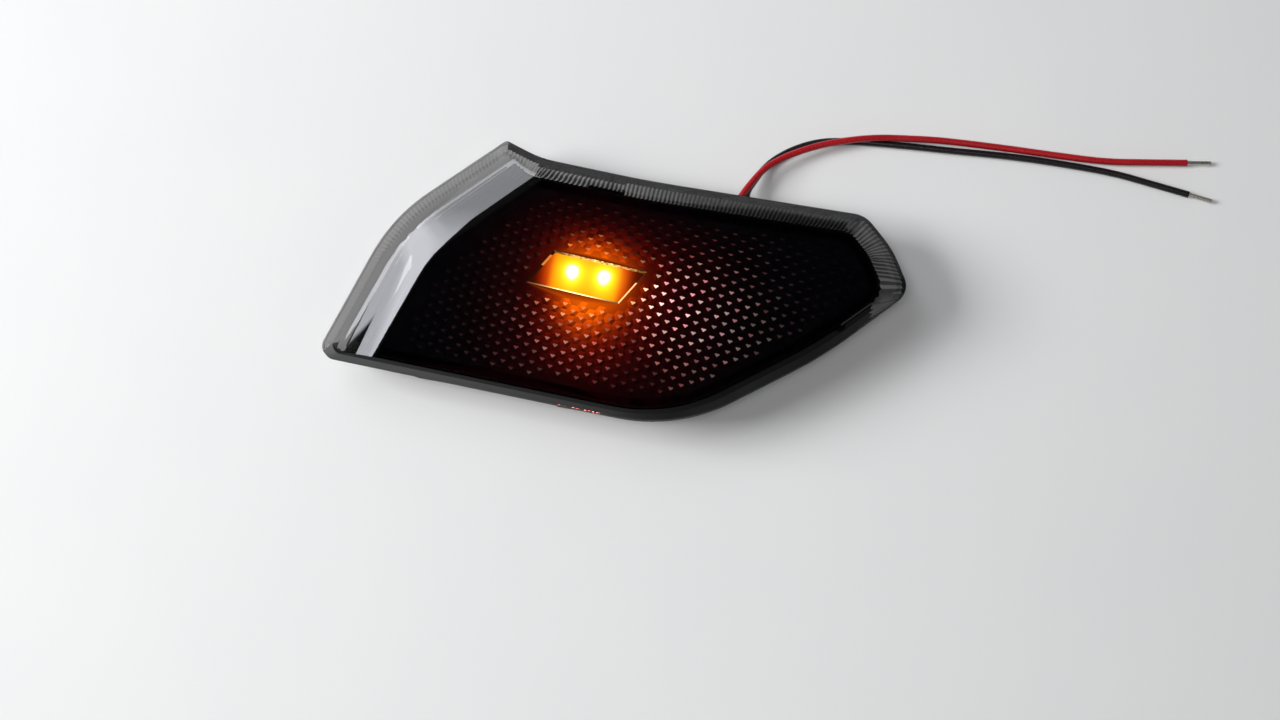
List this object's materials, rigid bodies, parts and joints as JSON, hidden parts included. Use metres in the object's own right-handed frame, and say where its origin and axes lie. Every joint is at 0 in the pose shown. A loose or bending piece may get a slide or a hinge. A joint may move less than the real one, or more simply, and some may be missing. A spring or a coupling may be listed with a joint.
{
  "type": "side repeater lamp",
  "caption": "Smoked side repeater lamp for a car, with a fluted skirt, an amber light behind a clear window, a hook and clips for a panel opening, and loose leads.",
  "frame": {"origin": "centre of the lamp's outline, leads left out, on the plane of the housing's flat back", "axes": "+X along the lamp's length towards its pointed end, +Z out of the lens face"},
  "size_m": [0.2131, 0.0935, 0.0195],
  "materials": {
    "smoked_lens": "clear smoked acrylic, polished",
    "black_plastic": "fine moulded grain",
    "sealant": "cured bead",
    "board_mask": "black solder mask",
    "amber_led": "diode package with a clear cup",
    "chip_black": "moulded chip",
    "rubber_outlet": "soft black rubber",
    "red_insulation": "extruded, slightly glossy",
    "black_insulation": "extruded, slightly glossy",
    "tinned_copper": "tinned strands, twisted"
  },
  "bodies": {
    "root": {"lens": "smoked_lens", "housing": "black_plastic", "seal_bead": "sealant", "led_board": "board_mask", "led_left": "amber_led", "led_right": "amber_led", "resistor_left": "chip_black", "resistor_right": "chip_black", "polarity_diode": "chip_black", "grommet": "rubber_outlet", "lead_red": "black_insulation", "lead_black": "black_insulation", "wire_red": "red_insulation", "wire_black": "black_insulation", "tip_red": "tinned_copper", "tip_black": "tinned_copper"}
  },
  "joints": []
}
